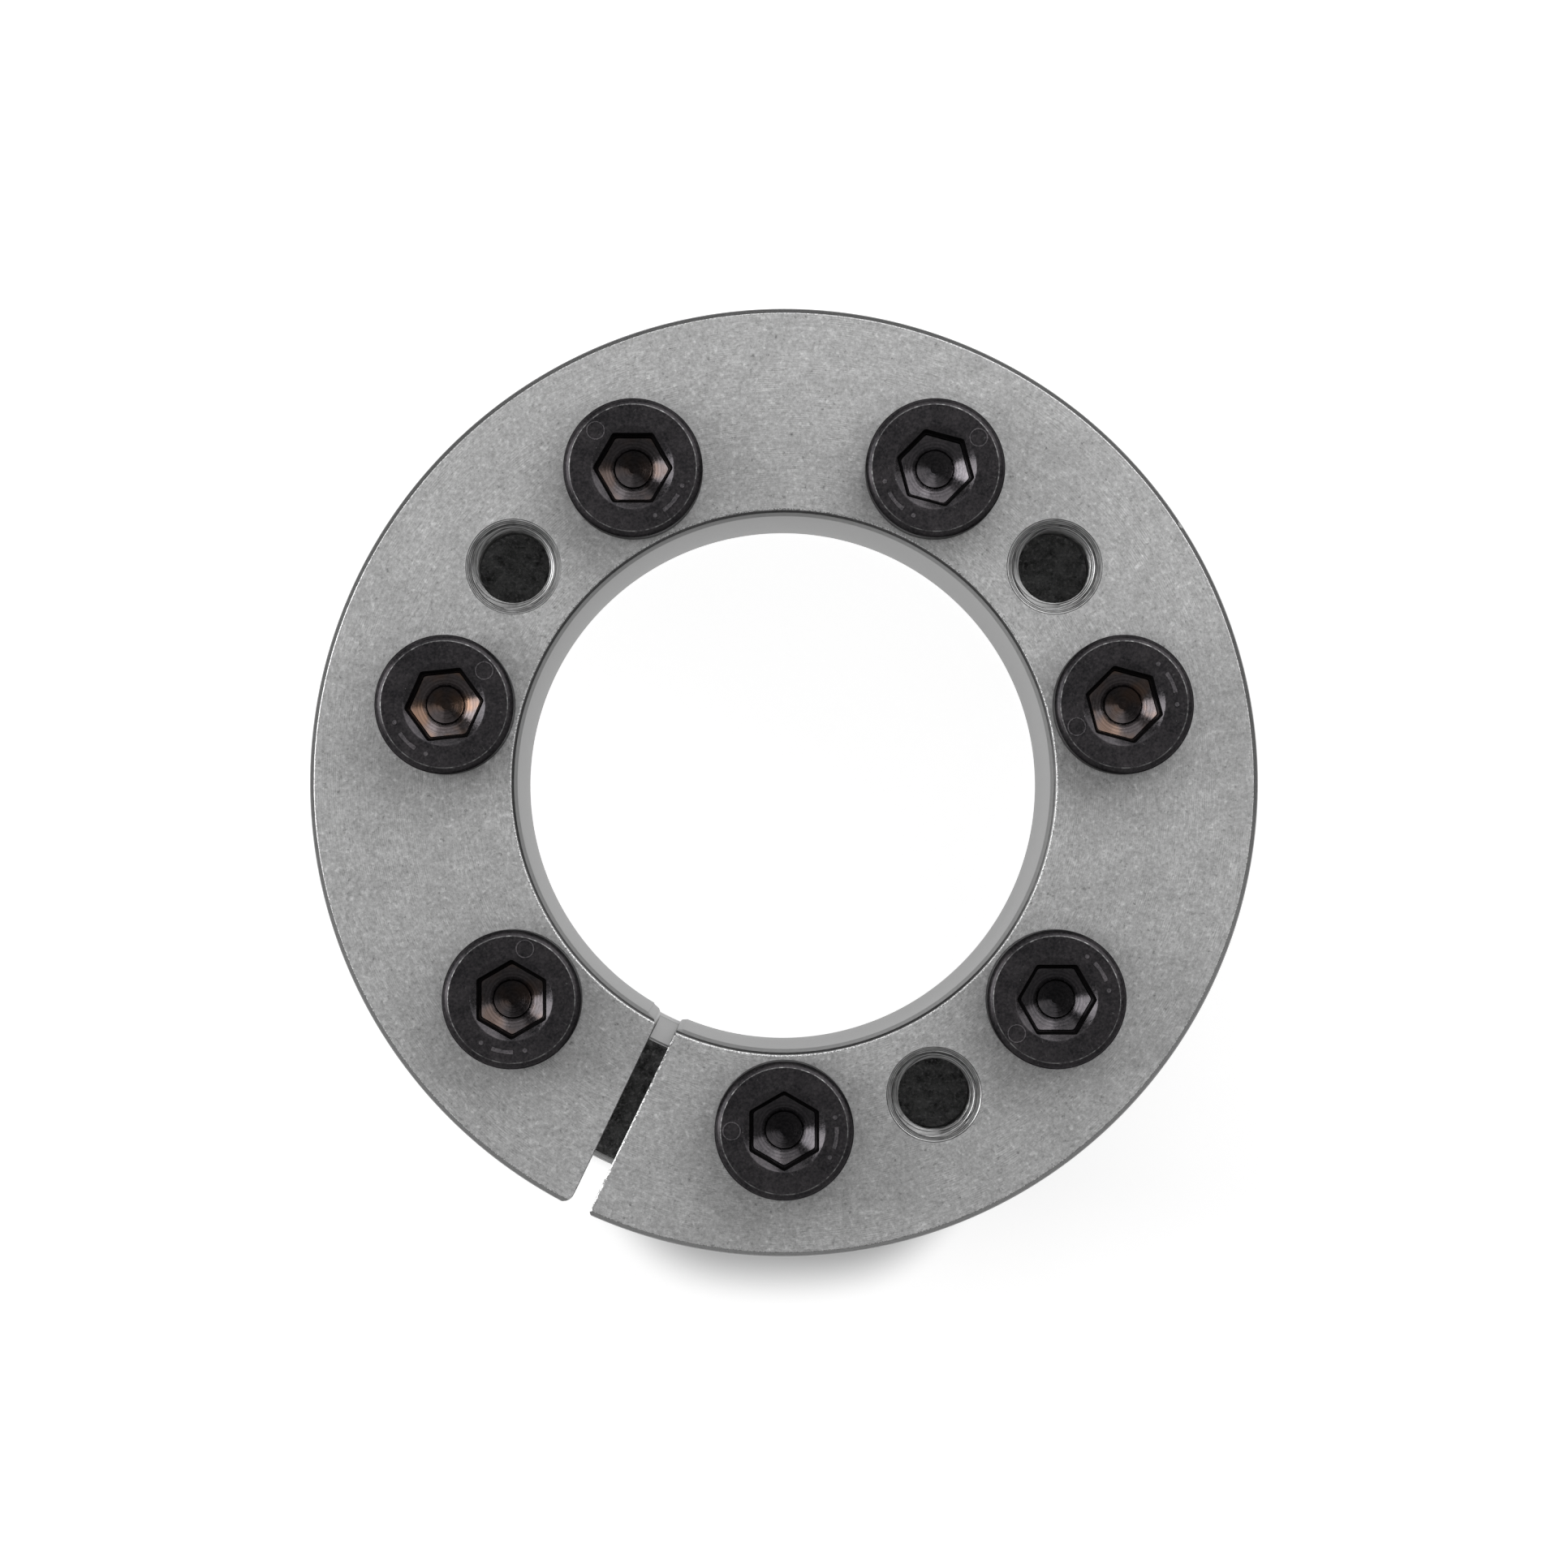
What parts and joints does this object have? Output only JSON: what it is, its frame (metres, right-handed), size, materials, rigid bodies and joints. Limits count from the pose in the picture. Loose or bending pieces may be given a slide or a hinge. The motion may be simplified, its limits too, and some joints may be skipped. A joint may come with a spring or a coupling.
{
  "type": "keyless locking assembly",
  "caption": "Slit inner ring with a flange and a tapered sleeve inside a tapered outer ring; cap screws draw the rings together and clamp a hub to a plain shaft.",
  "frame": {"origin": "centre of the bore at the back end, on which the assembly stands", "axes": "+Z along the axis towards the screw heads, -Y through screw_1, the flange's slit between screw_7 and screw_1"},
  "size_m": [0.089, 0.089, 0.064],
  "materials": {
    "turned_steel": "turned and tumbled, oiled, satin",
    "scaled_steel": "ground bore and outside, dark heat-treated faces",
    "black_oxide": "black oxide, oiled, semi-gloss"
  },
  "bodies": {
    "inner_ring": {"inner_ring": "turned_steel"},
    "outer_ring": {"outer_ring": "scaled_steel"},
    "screw_1": {"screw_1": "black_oxide"},
    "screw_2": {"screw_2": "black_oxide"},
    "screw_3": {"screw_3": "black_oxide"},
    "screw_4": {"screw_4": "black_oxide"},
    "screw_5": {"screw_5": "black_oxide"},
    "screw_6": {"screw_6": "black_oxide"},
    "screw_7": {"screw_7": "black_oxide"}
  },
  "joints": [
    {"name": "outer_ring_draw", "type": "slide", "parent": "inner_ring", "child": "outer_ring", "axis": [0, 0, 1], "range_m": [0, 0.00125]},
    {"name": "screw_1_turn", "type": "hinge", "parent": "inner_ring", "child": "screw_1", "pos_m": [0, -0.03249, 0.056], "axis": [0, 0, -1], "range_deg": [0, 360]},
    {"name": "screw_2_turn", "type": "hinge", "parent": "inner_ring", "child": "screw_2", "pos_m": [0.0254, -0.02025, 0.056], "axis": [0, 0, -1], "range_deg": [0, 360]},
    {"name": "screw_3_turn", "type": "hinge", "parent": "inner_ring", "child": "screw_3", "pos_m": [0.03167, 0.00723, 0.056], "axis": [0, 0, -1], "range_deg": [0, 360]},
    {"name": "screw_4_turn", "type": "hinge", "parent": "inner_ring", "child": "screw_4", "pos_m": [0.0141, 0.02927, 0.056], "axis": [0, 0, -1], "range_deg": [0, 360]},
    {"name": "screw_5_turn", "type": "hinge", "parent": "inner_ring", "child": "screw_5", "pos_m": [-0.0141, 0.02927, 0.056], "axis": [0, 0, -1], "range_deg": [0, 360]},
    {"name": "screw_6_turn", "type": "hinge", "parent": "inner_ring", "child": "screw_6", "pos_m": [-0.03167, 0.00723, 0.056], "axis": [0, 0, -1], "range_deg": [0, 360]},
    {"name": "screw_7_turn", "type": "hinge", "parent": "inner_ring", "child": "screw_7", "pos_m": [-0.0254, -0.02025, 0.056], "axis": [0, 0, -1], "range_deg": [0, 360]}
  ],
  "couplings": [
    {"joint": "screw_1_turn", "follows": "outer_ring_draw", "rad_per_m": 5026.5},
    {"joint": "screw_2_turn", "follows": "outer_ring_draw", "rad_per_m": 5026.5},
    {"joint": "screw_3_turn", "follows": "outer_ring_draw", "rad_per_m": 5026.5},
    {"joint": "screw_4_turn", "follows": "outer_ring_draw", "rad_per_m": 5026.5},
    {"joint": "screw_5_turn", "follows": "outer_ring_draw", "rad_per_m": 5026.5},
    {"joint": "screw_6_turn", "follows": "outer_ring_draw", "rad_per_m": 5026.5},
    {"joint": "screw_7_turn", "follows": "outer_ring_draw", "rad_per_m": 5026.5}
  ]
}
